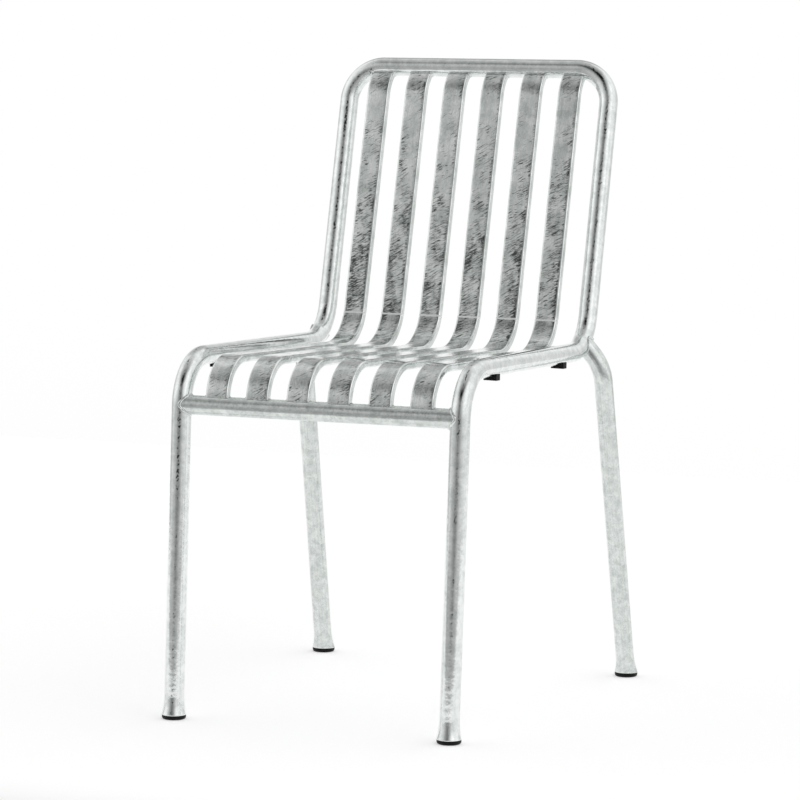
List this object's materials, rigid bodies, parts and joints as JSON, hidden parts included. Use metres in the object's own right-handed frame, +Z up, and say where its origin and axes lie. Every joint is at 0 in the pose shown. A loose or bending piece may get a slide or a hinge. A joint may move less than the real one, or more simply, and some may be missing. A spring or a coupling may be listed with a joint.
{
  "type": "garden chair",
  "caption": "Galvanised tube garden chair with a slatted seat and back, splayed rear legs, plastic foot glides and stacking buffers.",
  "frame": {"origin": "on the floor, under the middle of the chair's box", "axes": "+Z up, +Y to the rear, +X to the right seen from the front"},
  "size_m": [0.4682, 0.5622, 0.8097],
  "materials": {
    "galvanised_tube": "hot-dip galvanised round tube, bright with faint streaks",
    "galvanised_slat": "hot-dip galvanised flat tube with soft spangle and fine scratches",
    "galvanised_weld": "rounded weld beads under the zinc",
    "glide_plastic": "moulded black, satin",
    "buffer_plastic": "moulded black, satin",
    "screw_steel": "plain zinc-plated screw"
  },
  "bodies": {
    "root": {"side_tube_left": "galvanised_tube", "side_tube_right": "galvanised_tube", "front_rail": "galvanised_tube", "rear_leg_left": "galvanised_tube", "rear_leg_right": "galvanised_tube", "slat_1": "galvanised_slat", "slat_2": "galvanised_slat", "slat_3": "galvanised_slat", "slat_4": "galvanised_slat", "slat_5": "galvanised_slat", "slat_6": "galvanised_slat", "front_rail_welds": "galvanised_weld", "rear_leg_welds": "galvanised_weld", "slat_front_welds": "galvanised_weld", "slat_top_welds": "galvanised_weld", "foot_glide_front_left": "glide_plastic", "foot_glide_front_right": "glide_plastic", "foot_glide_rear_left": "glide_plastic", "foot_glide_rear_right": "glide_plastic", "stacking_buffer_front_left": "buffer_plastic", "stacking_buffer_front_right": "buffer_plastic", "stacking_buffer_rear_left": "buffer_plastic", "stacking_buffer_rear_right": "buffer_plastic", "buffer_screws": "screw_steel"}
  },
  "joints": []
}
